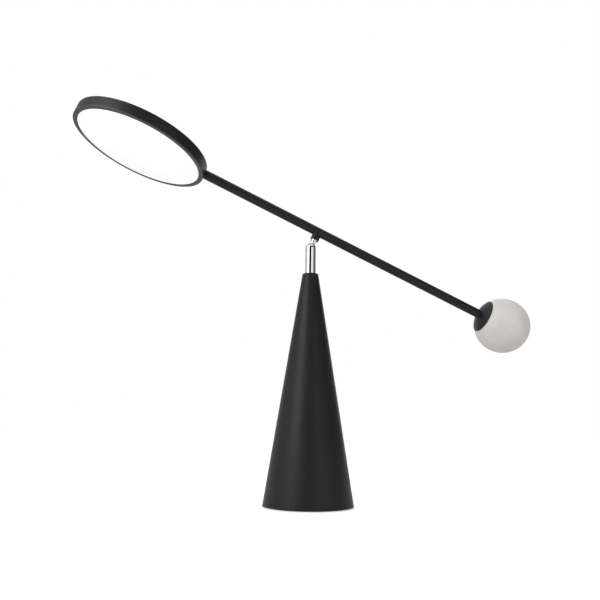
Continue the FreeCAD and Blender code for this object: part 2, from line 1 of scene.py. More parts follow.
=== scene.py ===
"""Looks of the balance desk lamp, laid out as an add-on and run as a script.

Everything is in metres, in the frame of the packed model: +Z up, the arm in the XZ
plane, the lamp head towards -X and the stone ball towards +X.
"""

import json
import math

import bmesh
import bpy
from bpy.props import FloatProperty, FloatVectorProperty, IntProperty, PointerProperty
from mathutils import Matrix, Vector


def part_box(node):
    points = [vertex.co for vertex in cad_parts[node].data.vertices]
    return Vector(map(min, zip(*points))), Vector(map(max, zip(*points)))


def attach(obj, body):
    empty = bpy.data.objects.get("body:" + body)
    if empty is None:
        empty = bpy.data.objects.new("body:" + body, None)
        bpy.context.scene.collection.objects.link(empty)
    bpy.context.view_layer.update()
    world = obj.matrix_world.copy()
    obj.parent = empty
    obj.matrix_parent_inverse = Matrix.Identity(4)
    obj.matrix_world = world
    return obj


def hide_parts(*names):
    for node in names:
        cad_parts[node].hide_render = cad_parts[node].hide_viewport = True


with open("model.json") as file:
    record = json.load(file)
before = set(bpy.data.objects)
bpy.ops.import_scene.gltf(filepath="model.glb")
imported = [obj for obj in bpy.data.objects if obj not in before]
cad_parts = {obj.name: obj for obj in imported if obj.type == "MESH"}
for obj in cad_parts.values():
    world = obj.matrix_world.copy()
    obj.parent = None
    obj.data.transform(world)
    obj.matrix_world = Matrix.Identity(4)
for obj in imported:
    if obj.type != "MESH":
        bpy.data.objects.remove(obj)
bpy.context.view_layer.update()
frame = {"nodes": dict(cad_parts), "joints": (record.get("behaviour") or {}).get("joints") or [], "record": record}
NODE_SLOT = {entry["node"]: entry["material_slot"] for entry in frame["record"]["subparts"]}
JOINT_AT = {joint["name"]: Vector(joint["pos_m"]) for joint in frame["joints"]}

bl_info = {
    "name": "Balance Desk Lamp",
    "version": (1, 0, 0),
    "blender": (4, 5, 0),
    "location": "View3D > Sidebar > Lamp",
    "description": "Builds the lamp's finished pieces round its packed model, and a plain studio",
    "category": "Object",
}

FULL_TURN = 2 * math.pi
AXIS_Z = Vector((0, 0, 1))
AXIS_MINUS_Y = Vector((0, -1, 0))
MERGE_DISTANCE = 1e-6
SHARP_ANGLE = math.radians(32)
OVERRUN = 0.002         # how far a cutting shape runs past what it cuts
SEAT_GAP = 0.00002      # round a part that stays where it is fitted
TURN_GAP = 0.00005      # round a shaft that turns
FINE_EDGE = 0.0003      # rounding of an edge that is only broken
BORE_STEPS = 64         # facets round a bore
RING_STEPS = 96         # facets round a small turned piece
WHITE, BLACK, GREY = (1.0, 1.0, 1.0, 1.0), (0.0, 0.0, 0.0, 1.0), (0.5, 0.5, 0.5, 1.0)


# ---- Settings --------------------------------------------------------------------
def length(name, default, description):
    """A size in metres."""
    return FloatProperty(name=name, default=default, min=0.0, precision=5, subtype="DISTANCE",
                         unit="LENGTH", description=description)


def angle(name, degrees, description):
    """An angle, stored in radians."""
    return FloatProperty(name=name, default=math.radians(degrees), subtype="ANGLE",
                         unit="ROTATION", description=description)


def colour(name, default, description):
    """A linear colour."""
    return FloatVectorProperty(name=name, default=default, size=3, min=0.0, max=1.0,
                               subtype="COLOR", description=description)


def level(name, default, description):
    """A plain number, such as a light's strength."""
    return FloatProperty(name=name, default=default, min=0.0, description=description)


def count(name, default, description):
    """A whole number of repeats or steps."""
    return IntProperty(name=name, default=default, min=1, description=description)


class FootSizes(bpy.types.PropertyGroup):
    """Sizes of the cone foot."""

    height: length("Height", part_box("base_cone")[1].z, "Table to the cone's flat top")
    radius: length("Foot radius", 0.060, "Outer radius at the bottom edge")
    edge_height: length("Edge height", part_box("base_cone")[0].z, "Table to the bottom edge")
    top_radius: length("Top radius", 0.011, "Outer radius of the flat top")
    wall: length("Wall", 0.002, "Sheet thickness of the cone")
    top_plate: length("Top plate", 0.005, "Thickness of the closed top")
    top_round: length("Top rounding", 0.0006, "Rounding of the top edge")
    hem_round: length("Hem rounding", 0.0004, "Rounding of the bottom edge")
    bush_seat: length("Bush seat", 0.00852, "Radius of the seat for the bush's head")
    bush_seat_depth: length("Bush seat depth", 0.002, "Depth of that seat")
    bush_hole: length("Bush hole", 0.00702, "Radius of the hole for the bush")
    outlet_height: length("Outlet height", 0.016, "Table to the cord outlet's centre")
    outlet_hole: length("Outlet hole", 0.00518, "Radius of the grommet where it passes the wall")
    outlet_bore: length("Outlet bore", 0.00325, "Radius of the grommet's bore")
    outlet_flange: length("Outlet flange", 0.0075, "Radius of the grommet's flanges")
    outlet_proud: length("Outlet proud", 0.0016, "Thickness of the outer flange")
    outlet_inside: length("Outlet inside", 0.005, "Length of the grommet inside the cone")
    outlet_round: length("Outlet rounding", 0.0006, "Rounding of the outer flange")
    outlet_lip: length("Outlet lip", 0.0005, "Rounding of the bore's outer edge")
    pad_radius: length("Pad radius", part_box("foot_pad")[1].x, "Radius of the foot pad")
    pad_height: length("Pad height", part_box("foot_pad")[1].z, "Thickness of the foot pad")
    pad_round: length("Pad rounding", 0.0005, "Rounding of the pad's lower edge")
    steps: count("Steps", 192, "Facets round the cone")


class PostSizes(bpy.types.PropertyGroup):
    """Sizes of the chrome post and the neck that tilts in it."""

    radius: length("Radius", 0.0075, "Radius of the post and its dome")
    edge: length("Edge", 0.0004, "Rounding at the post's foot")
    foot: length("Foot", 0.31255, "Table to the post's shoulder")
    stem: length("Stem radius", 0.004, "Radius of the stem in the bush")
    stem_foot: length("Stem foot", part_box("swivel_post")[0].z, "Table to the stem's end")
    groove: length("Clip groove", 0.0034, "Radius at the bottom of the clip groove")
    groove_top: length("Groove top", 0.2997, "Table to the top of the clip groove")
    groove_width: length("Groove width", 0.0008, "Width of the clip groove")
    wire_bore: length("Wire bore", 0.0025, "Radius of the bore for the lead")
    pocket: length("Pocket", 0.0062, "Radius of the round seat in the post")
    pocket_half: length("Pocket half width", 0.00305, "Half the pocket's width")
    fan: angle("Fan", 72.56, "Angle from upright to each side wall of the pocket")
    pin: length("Pin radius", 0.002, "Radius of the tilt pin")
    pin_wall: length("Pin wall", 0.002, "Solid metal left in front of the pin")
    stop_circle: length("Stop circle", 0.006, "Radius at which the stop pin runs")
    stop_half: length("Stop half width", 0.00065, "Half the width of the stop groove")
    stop_top: length("Stop top", 0.3134, "Table to the top of the stop groove")
    stop_angle: angle("Stop angle", 175.78, "Half the angle of the stop groove")
    eye: length("Eye", 0.0055, "Radius of the eye on the pin")
    eye_half: length("Eye half width", 0.0025, "Half the eye's thickness")
    neck_foot: length("Neck foot", 0.0033, "Radius of the neck where it leaves the post")
    neck_top: length("Neck top", 0.0048, "Radius of the neck at the lug")
    shoulder: length("Shoulder", 0.0079, "Pin to where the neck's flats end")
    stud: length("Stud radius", 0.003, "Radius of the neck's stud")
    stud_length: length("Stud length", 0.008, "Length of the stud in the lug")
    lead_bore: length("Lead bore", 0.0013, "Radius of the bore in the neck")
    lead_groove: length("Lead groove", 0.0036, "Radius at the bottom of the lead's groove")
    lead_groove_half: length("Lead groove half width", 0.0011, "Half that groove's width")
    steps: count("Steps", 160, "Facets round the post")


class ArmSizes(bpy.types.PropertyGroup):
    """Sizes of the arm tube and its lug."""

    tilt: angle("Tilt", 23.0, "How far the head's end is raised in the model's rest pose")
    offset: length("Offset", 0.0268, "Tilt axis to the tube's axis")
    radius: length("Tube radius", 0.00635, "Outer radius of the tube")
    bore: length("Tube bore", 0.0051, "Inner radius of the tube")
    ball_end: length("Ball end", 0.26735, "Along the tube, from over the pin to its end in the cup")
    lug_radius: length("Lug radius", 0.0060, "Radius of the lug")
    lug_length: length("Lug length", 0.0074, "Length of the lug below the tube")
    lug_bore: length("Lug bore", 0.00305, "Radius of the threaded hole")
    lug_edge: length("Lug edge", 0.0004, "Rounding of the lug's lower edge")
    lead_hole: length("Lead hole", 0.0032, "Radius of the hole over the lug")
    steps: count("Steps", 96, "Facets round the tube")


class HeadSizes(bpy.types.PropertyGroup):
    """Sizes of the lamp head."""

    reach: length("Reach", 0.270, "Along the tube, from over the pin to the head's centre")
    droop: angle("Droop", 2.4, "How far the head hangs below the tube's line")
    radius: length("Radius", 0.0935, "Outer radius of the head")
    face: length("Lit radius", 0.087, "Radius of the lit face")
    front: length("Front", 0.0075, "Tube axis down to the bezel's front")
    back: length("Back", 0.0076, "Tube axis up to the flat back")
    wall: length("Wall", 0.0022, "Thickness of the pan's side wall")
    back_thickness: length("Back thickness", 0.0032, "Thickness of the pan's back")
    back_round: length("Back rounding", 0.0010, "Rounding between the wall and the back")
    pan_fillet: length("Pan fillet", 0.0010, "Rounding inside, between the wall and the back")
    bezel: length("Bezel", 0.0014, "Thickness of the bezel")
    bezel_round: length("Bezel rounding", 0.0005, "Rounding of the bezel's outer edge")
    bezel_lip: length("Bezel lip", 0.0002, "Rounding of the bezel's inner edge")
    diffuser: length("Diffuser", 0.0024, "Thickness of the opal disc")
    flange: length("Flange", 0.0896, "Radius of the opal disc's step behind the bezel")
    face_gap: length("Face gap", 0.00015, "Gap round the opal disc")
    face_round: length("Face rounding", 0.0002, "Rounding of the opal disc's front edge")
    tab_radius: length("Tab radius", 0.09115, "Outer radius of the bezel's tabs")
    tab: length("Tab thickness", 0.00105, "Thickness of a tab")
    tab_tip: length("Tab tip", 0.0034, "Length of a tab behind the bezel")
    tab_hook: length("Tab hook", 0.00035, "How far a tab's hook stands out")
    tab_hook_height: length("Tab hook height", 0.0012, "Length of a tab's hook")
    tab_angle: angle("Tab angle", 14.0, "Angle that a tab takes up")
    tabs: count("Tabs", 6, "Number of tabs")
    glow_ring: length("Glow ring", 0.068, "Radius of the fainter ring in the lit face")
    glow_ring_half: length("Glow ring half width", 0.0012, "Half the width of that ring")
    steps: count("Steps", 256, "Facets round the head")


class WeightSizes(bpy.types.PropertyGroup):
    """Sizes of the ball and its cup."""

    reach: length("Reach", 0.3075, "Along the tube, from over the pin to the ball's centre")
    radius: length("Ball radius", 0.040, "Radius of the stone ball")
    hole: length("Hole radius", 0.00602, "Radius of the hole for the insert")
    hole_depth: length("Hole depth", 0.0260, "Depth of that hole")
    cup_gap: length("Cup gap", 0.00005, "Glue line between the cup and the ball")
    cup_wall: length("Cup wall", 0.0007, "Thickness of the cup")
    cup_rim: length("Cup rim", 0.0235, "Radius where the cup's edge meets the ball")
    cup_seat: length("Cup seat", 0.0006, "How deep the tube sits in the cup")
    stud_hole: length("Stud hole", 0.0043, "Radius of the cup's hole for the stud")
    steps: count("Steps", 144, "Facets round the ball")


class FinishColours(bpy.types.PropertyGroup):
    """Colours of the lamp's finishes."""

    coat: colour("Powder coat", (0.0095, 0.0095, 0.0092), "Matt black coat")
    coat_light: colour("Powder coat, light", (0.0125, 0.0125, 0.0120), "Lighter flecks of the coat")
    bezel: colour("Bezel", (0.0300, 0.0300, 0.0300), "Satin black moulding")
    chrome: colour("Chrome", (0.80, 0.80, 0.81), "Polished chrome")
    stone: colour("Stone", (0.672, 0.636, 0.595), "Body of the honed stone")
    stone_pale: colour("Stone, pale", (0.736, 0.707, 0.668), "Pale clouds in the stone")
    stone_warm: colour("Stone, warm", (0.624, 0.577, 0.520), "Warm grains in the stone")
    opal: colour("Opal", (0.93, 0.93, 0.92), "Opal plastic, unlit")
    glow: colour("Glow", (1.0, 0.995, 0.985), "Light through the opal disc")
    rubber: colour("Rubber", (0.030, 0.030, 0.030), "Foot pad and grommet")
    plating: colour("Zinc plating", (0.56, 0.57, 0.58), "Plated steel")
    brass: colour("Nickelled brass", (0.62, 0.60, 0.55), "Bush and insert")
    iron: colour("Cast iron", (0.085, 0.080, 0.078), "Ballast")
    white: colour("White parts", (0.82, 0.82, 0.80), "Board, reflector and driver case")
    nylon: colour("Nylon", (0.72, 0.70, 0.64), "Washers")
    phosphor: colour("Phosphor", (0.86, 0.70, 0.20), "Light sources")


class StudioLevels(bpy.types.PropertyGroup):
    """Light levels and the camera."""

    world: level("World", 0.73, "Strength of the light from all round")
    backdrop: level("Backdrop", 1.0, "Brightness of the background, where 1 is white")
    key: level("Key", 5.4, "Power of the left soft box, in watts")
    top: level("Top", 1.2, "Power of the overhead soft box, in watts")
    key_card: level("Key card", 3.6, "Brightness of the left soft box in reflections")
    black_card: level("Black card", 0.010, "Brightness of the card in front of the lamp")
    high_card: level("High card", 0.12, "Brightness of the cards over those on the right")
    white_card: level("White card", 1.1, "Brightness of the card to the right of the camera")
    grey_card: level("Grey card", 0.33, "Brightness of the card on the right")
    dark_card: level("Dark card", 0.17, "Brightness of the card behind it on the right")
    left_card: level("Left card", 0.90, "Brightness of the card on the left")
    far_left_card: level("Far left card", 0.55, "Brightness of the card behind it on the left")
    floor_lift: level("Floor lift", 0.50, "What the floor adds of its own for the camera")
    floor_gloss: level("Floor in metal", 0.12, "What the floor adds of its own in reflections")
    camera_at: FloatVectorProperty(name="Camera", default=(-0.23404, -0.89261, 0.09702), size=3,
                                   subtype="TRANSLATION", unit="LENGTH",
                                   description="Where the camera stands")
    heading: angle("Heading", -13.8227, "Turn of the camera about the vertical")
    pitch: angle("Pitch", 10.9407, "Tilt of the camera above the horizon")
    roll: angle("Roll", 0.7507, "Roll of the camera")
    lens: level("Lens", 40.746, "Focal length on a 36 mm sensor, in millimetres")


SETTINGS = {
    "lamp_foot": FootSizes, "lamp_post": PostSizes, "lamp_arm": ArmSizes,
    "lamp_head": HeadSizes, "lamp_weight": WeightSizes, "lamp_finish": FinishColours,
    "lamp_studio": StudioLevels,
}


def settings(name):
    """One group of settings of the scene."""
    return getattr(bpy.context.scene, name)


# ---- Places ----------------------------------------------------------------------
def neck_place():
    """The neck's frame: origin on the tilt pin, Z up the neck."""
    return Matrix.Translation(JOINT_AT["arm_tilt"]) @ Matrix.Rotation(
        settings("lamp_arm").tilt, 4, "Y")


def tube_place():
    """The tube's frame: over the pin, X along the tube towards the ball."""
    return neck_place() @ Matrix.Translation((0, 0, settings("lamp_arm").offset))


def head_place():
    """The head's frame: its centre, with Z out of its back."""
    head = settings("lamp_head")
    entry = Matrix.Translation((head.radius - head.reach, 0, 0))
    droop = Matrix.Rotation(-head.droop, 4, "Y")
    return tube_place() @ entry @ droop @ Matrix.Translation((-head.radius, 0, 0))


def ball_place():
    """The ball's frame: its centre, with Z towards the tube."""
    return (tube_place() @ Matrix.Translation((settings("lamp_weight").reach, 0, 0))
            @ Matrix.Rotation(-math.pi / 2, 4, "Y"))


def cone_slope():
    """How much the cone's radius shrinks for each metre of height."""
    foot = settings("lamp_foot")
    return (foot.radius - foot.top_radius) / (foot.height - foot.edge_height)


def outlet_place():
    """The cord outlet's frame: on the cone's outside at the back, with Z outwards."""
    foot = settings("lamp_foot")
    out = foot.radius - (foot.outlet_height - foot.edge_height) * cone_slope()
    return (Matrix.Translation((0, out, foot.outlet_height))
            @ Matrix.Rotation(math.atan(cone_slope()) - math.pi / 2, 4, "X"))


# ---- Making meshes ---------------------------------------------------------------
def draw(bm, start, *moves):
    """A line in the XZ plane. A move is a corner, or (centre, angle, steps) of an arc."""
    here = bm.verts.new((start[0], 0, start[1]))
    drawn = [here]
    for move in moves:
        if len(move) == 2:
            here = bm.verts.new((move[0], 0, move[1]))
            bm.edges.new((drawn[-1], here))
        else:
            centre, turn, steps = move
            swept = bmesh.ops.spin(bm, geom=[here], cent=(centre[0], 0, centre[1]),
                                   axis=AXIS_MINUS_Y, angle=turn, steps=steps, use_merge=False)
            here = [item for item in swept["geom_last"] if isinstance(item, bmesh.types.BMVert)][0]
        drawn.append(here)
    return drawn


def turned(outline, steps, rounds=(), turn=FULL_TURN, closed=True):
    """A mesh turned about Z. outline is draw's, and rounds lists (corner, reach, segments)."""
    bm = bmesh.new()
    corners = draw(bm, *outline)
    if closed:
        bm.edges.new((corners[-1], corners[0]))
    for corner, reach, segments in rounds:
        bmesh.ops.bevel(bm, geom=[corners[corner]], offset=reach, offset_type="OFFSET",
                        affect="VERTICES", segments=segments, profile=0.5, material=-1)
    whole = turn == FULL_TURN
    bmesh.ops.spin(bm, geom=bm.verts[:] + bm.edges[:], cent=(0, 0, 0), axis=AXIS_Z, angle=turn,
                   steps=steps, use_merge=whole)
    if closed and not whole:
        bmesh.ops.holes_fill(bm, edges=[edge for edge in bm.edges if edge.is_boundary])
    return tidy(bm)


def tidy(bm):
    """The mesh with its doubles merged and its faces outwards."""
    bmesh.ops.remove_doubles(bm, verts=bm.verts[:], dist=MERGE_DISTANCE)
    bmesh.ops.dissolve_degenerate(bm, edges=bm.edges[:], dist=MERGE_DISTANCE)
    bmesh.ops.recalc_face_normals(bm, faces=bm.faces[:])
    return bm


def rod(radius, low, high, steps, place=Matrix()):
    """A plain round bar about Z between two heights, then put in place."""
    bm = bmesh.new()
    bmesh.ops.create_cone(bm, cap_ends=True, segments=steps, radius1=radius, radius2=radius,
                          depth=high - low)
    bmesh.ops.translate(bm, verts=bm.verts, vec=(0, 0, (low + high) / 2))
    bmesh.ops.transform(bm, matrix=place, verts=bm.verts)
    return bm


def slab(low, high):
    """A box between two corners."""
    bm = bmesh.new()
    bmesh.ops.create_cube(bm, size=1.0)
    low, high = Vector(low), Vector(high)
    bmesh.ops.scale(bm, verts=bm.verts, vec=high - low)
    bmesh.ops.translate(bm, verts=bm.verts, vec=(low + high) / 2)
    return bm


def crossways():
    """A turn that lays a bar along Y."""
    return Matrix.Rotation(math.pi / 2, 4, "X")


def lengthways():
    """A turn that lays a bar along X."""
    return Matrix.Rotation(math.pi / 2, 4, "Y")


def new_object(name, bm):
    """A mesh object in the scene, from a bmesh that is then freed."""
    mesh = bpy.data.meshes.new(name)
    bm.to_mesh(mesh)
    bm.free()
    made = bpy.data.objects.new(name, mesh)
    bpy.context.scene.collection.objects.link(made)
    return made


def combine(body, tools, operation="DIFFERENCE"):
    """The body's mesh with each tool cut from it, or joined to it."""
    blank = new_object("blank", body)
    for tool in tools:
        other = new_object("tool", tool)
        step = blank.modifiers.new("step", "BOOLEAN")
        step.operation = operation
        step.solver = "EXACT"
        step.object = other
        seen = blank.evaluated_get(bpy.context.evaluated_depsgraph_get())
        result = bpy.data.meshes.new_from_object(seen)
        blank.modifiers.remove(step)
        blank.data = result
        bpy.data.objects.remove(other)
    bm = bmesh.new()
    bm.from_mesh(blank.data)
    bpy.data.objects.remove(blank)
    return tidy(bm)


def fit(name, bm, body, node, place=Matrix(), finish=None):
    """Put a made piece in place of a CAD node: placed, shaded, finished and riding."""
    bmesh.ops.transform(bm, matrix=place, verts=bm.verts)
    made = new_object(name, bm)
    for polygon in made.data.polygons:
        polygon.use_smooth = True
    made.data.set_sharp_from_angle(angle=SHARP_ANGLE)
    slot = NODE_SLOT[node]
    made.data.materials.append(finish or finish_for(slot))
    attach(made, body)
    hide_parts(node)
    return made


# ---- Shader groups ---------------------------------------------------------------
def feed(tree, socket, source):
    """Link a socket to another, or give it a plain value."""
    if isinstance(source, bpy.types.NodeSocket):
        tree.links.new(source, socket)
    else:
        socket.default_value = source


def add(tree, kind, links=(), **values):
    """A node with its properties set, and its inputs linked or given a value."""
    node = tree.nodes.new(kind)
    for name, value in values.items():
        setattr(node, name, value)
    for socket, source in links:
        feed(tree, node.inputs[socket], source)
    return node


def mixed(tree, factor, low, high):
    """A colour between two, by a factor."""
    node = add(tree, "ShaderNodeMix", data_type="RGBA")
    for label, kind, source in (("Factor", "VALUE", factor), ("A", "RGBA", low),
                                ("B", "RGBA", high)):
        feed(tree, next(entry for entry in node.inputs
                        if (entry.name, entry.type) == (label, kind)), source)
    return next(entry for entry in node.outputs if entry.type == "RGBA")


def ranged(tree, value, low, high, start=0.0, end=1.0):
    """A value moved from one range to another."""
    node = add(tree, "ShaderNodeMapRange", [("Value", value), ("From Min", start),
                                            ("From Max", end), ("To Min", low), ("To Max", high)])
    return node.outputs["Result"]


def sums(tree, operation, first, second):
    """Arithmetic on two values."""
    return add(tree, "ShaderNodeMath", [(0, first), (1, second)], operation=operation).outputs[0]


def new_group(name, inputs, outputs):
    """An empty shader group with sockets: inputs are (name, kind, default)."""
    group = bpy.data.node_groups.new(name, "ShaderNodeTree")
    for label, kind, default in inputs:
        socket = group.interface.new_socket(name=label, in_out="INPUT", socket_type=kind)
        socket.default_value = default
    for label, kind in outputs:
        group.interface.new_socket(name=label, in_out="OUTPUT", socket_type=kind)
    given, out = group.nodes.new("NodeGroupInput"), group.nodes.new("NodeGroupOutput")
    return group, given.outputs, out.inputs


FLOAT, COLOUR = "NodeSocketFloat", "NodeSocketColor"


def two_tone_group():
    """Two tones of one colour that drift into each other, with finer flecks."""
    group, given, out = new_group(
        "two_tone",
        [("Base", COLOUR, GREY), ("Other", COLOUR, GREY), ("Drift Scale", FLOAT, 20.0),
         ("Fleck Scale", FLOAT, 600.0), ("Flecks", FLOAT, 0.3)],
        [("Color", COLOUR)])
    place = add(group, "ShaderNodeTexCoord").outputs["Object"]
    drift = add(group, "ShaderNodeTexNoise", [("Vector", place), ("Scale", given["Drift Scale"]),
                                              ("Detail", 4.0), ("Roughness", 0.6)])
    fleck = add(group, "ShaderNodeTexNoise", [("Vector", place), ("Scale", given["Fleck Scale"]),
                                              ("Detail", 2.0)])
    slow = ranged(group, drift.outputs["Fac"], 0.0, 1.0, 0.32, 0.68)
    fast = sums(group, "MULTIPLY", sums(group, "SUBTRACT", fleck.outputs["Fac"], 0.5),
                given["Flecks"])
    mask = add(group, "ShaderNodeMath", [(0, slow), (1, fast)], operation="ADD",
               use_clamp=True).outputs[0]
    group.links.new(mixed(group, mask, given["Base"], given["Other"]), out["Color"])
    return group


def grain_group():
    """Relief of a sprayed, moulded or cast skin: broad dimples with fine grit on them."""
    group, given, out = new_group(
        "skin_grain",
        [("Dimple Scale", FLOAT, 700.0), ("Grit Scale", FLOAT, 2600.0), ("Grit", FLOAT, 0.35)],
        [("Height", FLOAT)])
    place = add(group, "ShaderNodeTexCoord").outputs["Object"]
    dimples = add(group, "ShaderNodeTexVoronoi", [("Vector", place),
                                                  ("Scale", given["Dimple Scale"])],
                  feature="SMOOTH_F1")
    grit = add(group, "ShaderNodeTexNoise", [("Vector", place), ("Scale", given["Grit Scale"]),
                                             ("Detail", 3.0)])
    fine = sums(group, "MULTIPLY", grit.outputs["Fac"], given["Grit"])
    group.links.new(sums(group, "ADD", dimples.outputs["Distance"], fine), out["Height"])
    return group


def gloss_group():
    """A roughness that drifts between two values, as handling and cleaning leave it."""
    group, given, out = new_group(
        "gloss_drift",
        [("Low", FLOAT, 0.3), ("High", FLOAT, 0.5), ("Scale", FLOAT, 30.0),
         ("Stretch", FLOAT, 1.0)],
        [("Roughness", FLOAT)])
    place = add(group, "ShaderNodeTexCoord").outputs["Object"]
    parts = add(group, "ShaderNodeSeparateXYZ", [("Vector", place)])
    tall = sums(group, "DIVIDE", parts.outputs["Z"], given["Stretch"])
    drawn = add(group, "ShaderNodeCombineXYZ", [("X", parts.outputs["X"]),
                                                ("Y", parts.outputs["Y"]), ("Z", tall)])
    drift = add(group, "ShaderNodeTexNoise", [("Vector", drawn.outputs[0]),
                                              ("Scale", given["Scale"]), ("Detail", 5.0),
                                              ("Roughness", 0.65)])
    spread = ranged(group, drift.outputs["Fac"], 0.0, 1.0, 0.3, 0.7)
    group.links.new(ranged(group, spread, given["Low"], given["High"]), out["Roughness"])
    return group


def lathe_group():
    """Fine rings that a lathe tool leaves, one after another along the axis."""
    group, given, out = new_group(
        "lathe_rings", [("Pitch", FLOAT, 0.0002)], [("Height", FLOAT)])
    place = add(group, "ShaderNodeTexCoord").outputs["Object"]
    parts = add(group, "ShaderNodeSeparateXYZ", [("Vector", place)])
    squared = sums(group, "ADD", sums(group, "POWER", parts.outputs["X"], 2.0),
                   sums(group, "POWER", parts.outputs["Y"], 2.0))
    along = sums(group, "ADD", parts.outputs["Z"], sums(group, "SQRT", squared, 0.5))
    turns = sums(group, "MULTIPLY", sums(group, "DIVIDE", along, given["Pitch"]), FULL_TURN)
    group.links.new(sums(group, "SINE", turns, 0.0), out["Height"])
    return group


GROUP_MAKERS = {"two_tone": two_tone_group, "skin_grain": grain_group,
                "gloss_drift": gloss_group, "lathe_rings": lathe_group}


def placed_group(tree, name, **values):
    """A shared group in a material, made on first use, with its values set."""
    node = tree.nodes.new("ShaderNodeGroup")
    node.node_tree = bpy.data.node_groups.get(name) or GROUP_MAKERS[name]()
    for label, value in values.items():
        node.inputs[label.replace("_", " ")].default_value = value
    return node.outputs


# ---- Finishes --------------------------------------------------------------------
def opaque(rgb):
    """A colour property as four numbers."""
    return (*rgb, 1.0)


def bare_material(name):
    """A material with no nodes, and its tree."""
    material = bpy.data.materials.new(name)
    material.use_nodes = True
    material.node_tree.nodes.clear()
    return material, material.node_tree


def put_out(tree, shader, kind="ShaderNodeOutputMaterial"):
    """Link a shader to a new output node."""
    tree.links.new(shader, tree.nodes.new(kind).inputs["Surface"])


def blank_material(name):
    """A material with only a surface shader and an output."""
    material, tree = bare_material(name)
    surface = tree.nodes.new("ShaderNodeBsdfPrincipled")
    put_out(tree, surface.outputs["BSDF"])
    return material, tree, surface


def two_tone(tree, base, other, drift, fleck, flecks):
    """Two tones of a colour, drifting at one scale and flecked at another."""
    return placed_group(tree, "two_tone", Base=opaque(base), Other=opaque(other),
                        Drift_Scale=drift, Fleck_Scale=fleck, Flecks=flecks)["Color"]


def polished(tree, surface, low, high, scale, stretch=1.0):
    """Give a surface a gloss that drifts between two values of roughness."""
    rough = placed_group(tree, "gloss_drift", Low=low, High=high, Scale=scale, Stretch=stretch)
    tree.links.new(rough["Roughness"], surface.inputs["Roughness"])


def bumped(tree, surface, height, distance):
    """Relief on a surface, of a height in metres."""
    bump = add(tree, "ShaderNodeBump", [("Height", height), ("Distance", distance)])
    tree.links.new(bump.outputs["Normal"], surface.inputs["Normal"])


def grained(tree, surface, dimples, grit, share, distance):
    """Relief of a skin: dimples at one scale, a share of grit at another."""
    relief = placed_group(tree, "skin_grain", Dimple_Scale=dimples, Grit_Scale=grit, Grit=share)
    bumped(tree, surface, relief["Height"], distance)


def skin(name, tones, gloss, grain, metallic=0.0, specular=0.5):
    """A finish of two tones, a drifting gloss and a grained relief."""
    material, tree, surface = blank_material(name)
    tree.links.new(two_tone(tree, *tones), surface.inputs["Base Color"])
    polished(tree, surface, *gloss)
    surface.inputs["Metallic"].default_value = metallic
    surface.inputs["Specular IOR Level"].default_value = specular
    grained(tree, surface, *grain)
    return material


def shade(rgb, factor):
    """A colour made lighter or darker."""
    return [min(1.0, part * factor) for part in rgb]


def powder_coat(name, factor):
    """Matt black powder coat with a fine orange peel."""
    finish = settings("lamp_finish")
    return skin(name, (shade(finish.coat, factor), shade(finish.coat_light, factor), 14.0,
                       1500.0, 0.5), (0.40, 0.46, 40.0), (900.0, 2400.0, 0.4, 0.000015),
                specular=0.25)


def chrome_plate(name):
    """Polished chrome with a faint haze where it is handled."""
    chrome = settings("lamp_finish").chrome
    return skin(name, (chrome, shade(chrome, 0.96), 90.0, 2500.0, 0.15),
                (0.025, 0.055, 120.0, 4.0), (110.0, 260.0, 0.3, 0.000002), metallic=1.0)


def honed_stone(name):
    """Pale honed stone: cloudy body, warm grains and fine pits."""
    finish = settings("lamp_finish")
    material, tree, surface = blank_material(name)
    body = two_tone(tree, finish.stone, finish.stone_pale, 38.0, 900.0, 0.5)
    grains = two_tone(tree, finish.stone_warm, finish.stone_pale, 130.0, 1800.0, 0.9)
    place = add(tree, "ShaderNodeTexCoord").outputs["Object"]
    seams = add(tree, "ShaderNodeTexNoise", [("Vector", place), ("Scale", 24.0), ("Detail", 6.0),
                                             ("Roughness", 0.62), ("Distortion", 0.7)])
    share = ranged(tree, seams.outputs["Fac"], 0.0, 0.55, 0.45, 0.72)
    tree.links.new(mixed(tree, share, body, grains), surface.inputs["Base Color"])
    polished(tree, surface, 0.50, 0.66, 60.0)
    for label, value in (("Specular IOR Level", 0.35), ("Subsurface Weight", 0.12),
                         ("Subsurface Radius", (0.0030, 0.0024, 0.0018)),
                         ("Subsurface Scale", 1.0)):
        surface.inputs[label].default_value = value
    grained(tree, surface, 520.0, 1900.0, 0.6, 0.000035)
    return material


def lit_opal(name):
    """Opal disc lit from behind: brightest in the middle, with a faint ring further out."""
    finish = settings("lamp_finish")
    head = settings("lamp_head")
    material, tree, surface = blank_material(name)
    tone = two_tone(tree, finish.opal, shade(finish.opal, 0.97), 12.0, 900.0, 0.1)
    tree.links.new(tone, surface.inputs["Base Color"])
    polished(tree, surface, 0.34, 0.42, 25.0)
    place = add(tree, "ShaderNodeTexCoord").outputs["Object"]
    off = add(tree, "ShaderNodeVectorMath", [(0, place), (1, head_place().translation)],
              operation="DISTANCE").outputs["Value"]
    fall = ranged(tree, off, 1.0, 0.93, 0.0, head.radius)
    apart = sums(tree, "ABSOLUTE", sums(tree, "SUBTRACT", off, head.glow_ring), 0.0)
    ring = ranged(tree, apart, 0.86, 1.0, 0.0, head.glow_ring_half)
    glow = mixed(tree, sums(tree, "MULTIPLY", fall, ring), BLACK, opaque(finish.glow))
    tree.links.new(glow, surface.inputs["Emission Color"])
    surface.inputs["Emission Strength"].default_value = 0.35
    grained(tree, surface, 1100.0, 3000.0, 0.3, 0.000010)
    return material


